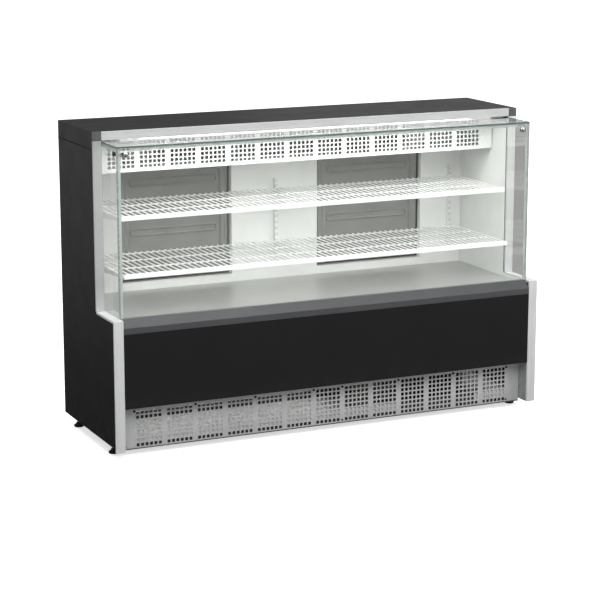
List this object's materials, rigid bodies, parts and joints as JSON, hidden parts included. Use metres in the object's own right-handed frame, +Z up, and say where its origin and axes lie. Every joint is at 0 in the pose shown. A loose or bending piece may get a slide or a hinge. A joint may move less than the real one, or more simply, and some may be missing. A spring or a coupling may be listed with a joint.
{
  "type": "refrigerated deli case",
  "caption": "Black refrigerated display case with a square glass front, wire shelves, a perforated air duct, a base grille and rear service doors.",
  "frame": {"origin": "on the floor, under the middle of the bounding box", "axes": "+Z up, +Y to the rear where the service doors are, +X to the right of someone facing the glass"},
  "size_m": [1.8, 0.662, 1.21],
  "materials": {
    "black_enamel": "satin black powder coat",
    "white_enamel": "white enamelled sheet",
    "satin_aluminium": "satin anodised",
    "grey_plastic": "moulded, fine texture",
    "sill_profile": "grey coated profile",
    "grille_steel": "grey coated sheet",
    "deck_steel": "brushed grey steel",
    "door_liner": "vacuum-formed, matt",
    "insulation": "rigid foam",
    "clear_glass": "clear tempered glass with a green edge",
    "polished_chrome": "polished",
    "black_rubber": "soft extrusion",
    "lamp_diffuser": "opal diffuser",
    "fin_aluminium": "mill finish fins",
    "machine_black": "black lacquer",
    "zinc_steel": "zinc plated"
  },
  "bodies": {
    "cabinet": {"side_panel_left": "black_enamel", "side_liner_left": "white_enamel", "lower_strip_left": "satin_aluminium", "upper_strip_left": "satin_aluminium", "strip_cap_left": "grey_plastic", "side_glass_left": "clear_glass", "glass_clamp_left": "polished_chrome", "door_hinge_left": "zinc_steel", "evap_fan_motor_left": "machine_black", "side_panel_right": "black_enamel", "side_liner_right": "white_enamel", "lower_strip_right": "satin_aluminium", "upper_strip_right": "satin_aluminium", "strip_cap_right": "grey_plastic", "side_glass_right": "clear_glass", "glass_clamp_right": "polished_chrome", "door_hinge_right": "zinc_steel", "evap_fan_motor_right": "machine_black", "roof_housing": "black_enamel", "roof_fascia": "satin_aluminium", "ceiling_panel": "white_enamel", "led_lamp": "lamp_diffuser", "air_duct_panel": "white_enamel", "drip_tray": "white_enamel", "evaporator_coil": "fin_aluminium", "front_sill": "sill_profile", "front_panel": "black_enamel", "front_grille": "grille_steel", "insulated_base": "insulation", "display_deck": "deck_steel", "front_glass": "clear_glass", "top_glass": "clear_glass", "glass_joint_angle": "satin_aluminium", "shelf_upper": "white_enamel", "shelf_lower": "white_enamel", "shelf_support_left": "white_enamel", "shelf_support_centre": "white_enamel", "shelf_support_right": "white_enamel", "rear_frame": "white_enamel", "base_pan": "zinc_steel", "machine_back_panel": "grille_steel", "compressor": "machine_black", "condenser_coil": "fin_aluminium", "condenser_fan_motor": "machine_black", "power_inlet": "machine_black"},
    "door_left": {"rear_door_left": "black_enamel", "door_liner_left": "door_liner", "door_gasket_left": "black_rubber"},
    "evap_fan_left": {"evap_fan_left": "grey_plastic"},
    "foot_front_left": {"foot_front_left": "machine_black"},
    "foot_rear_left": {"foot_rear_left": "machine_black"},
    "door_right": {"rear_door_right": "black_enamel", "door_liner_right": "door_liner", "door_gasket_right": "black_rubber"},
    "evap_fan_right": {"evap_fan_right": "grey_plastic"},
    "foot_front_right": {"foot_front_right": "machine_black"},
    "foot_rear_right": {"foot_rear_right": "machine_black"},
    "condenser_fan": {"condenser_fan": "fin_aluminium"},
    "thermostat_knob": {"thermostat_knob": "grey_plastic"},
    "light_switch": {"light_switch": "machine_black"}
  },
  "joints": [
    {"name": "door_left_hinge", "type": "hinge", "parent": "cabinet", "child": "door_left", "pos_m": [-0.692, 0.297, 0.79], "axis": [0, 0, 1], "range_deg": [0, 110]},
    {"name": "evap_fan_left_spin", "type": "hinge", "parent": "cabinet", "child": "evap_fan_left", "pos_m": [-0.3, 0.024, 1.103], "axis": [0, -1, 0], "continuous": true},
    {"name": "foot_front_left_screw", "type": "slide", "parent": "cabinet", "child": "foot_front_left", "axis": [0, 0, -1], "range_m": [0, 0.02]},
    {"name": "foot_rear_left_screw", "type": "slide", "parent": "cabinet", "child": "foot_rear_left", "axis": [0, 0, -1], "range_m": [0, 0.02]},
    {"name": "door_right_hinge", "type": "hinge", "parent": "cabinet", "child": "door_right", "pos_m": [0.692, 0.297, 0.79], "axis": [0, 0, -1], "range_deg": [0, 110]},
    {"name": "evap_fan_right_spin", "type": "hinge", "parent": "cabinet", "child": "evap_fan_right", "pos_m": [0.3, 0.024, 1.103], "axis": [0, -1, 0], "continuous": true},
    {"name": "foot_front_right_screw", "type": "slide", "parent": "cabinet", "child": "foot_front_right", "axis": [0, 0, -1], "range_m": [0, 0.02]},
    {"name": "foot_rear_right_screw", "type": "slide", "parent": "cabinet", "child": "foot_rear_right", "axis": [0, 0, -1], "range_m": [0, 0.02]},
    {"name": "condenser_fan_spin", "type": "hinge", "parent": "cabinet", "child": "condenser_fan", "pos_m": [0.46, -0.151, 0.21], "axis": [0, 1, 0], "continuous": true},
    {"name": "thermostat_turn", "type": "hinge", "parent": "cabinet", "child": "thermostat_knob", "pos_m": [0.61, 0.2666, 0.37], "axis": [0, -1, 0], "range_deg": [0, 270]},
    {"name": "light_switch_rock", "type": "hinge", "parent": "cabinet", "child": "light_switch", "pos_m": [0.69, 0.263, 0.37], "axis": [1, 0, 0], "range_deg": [0, 14]}
  ]
}
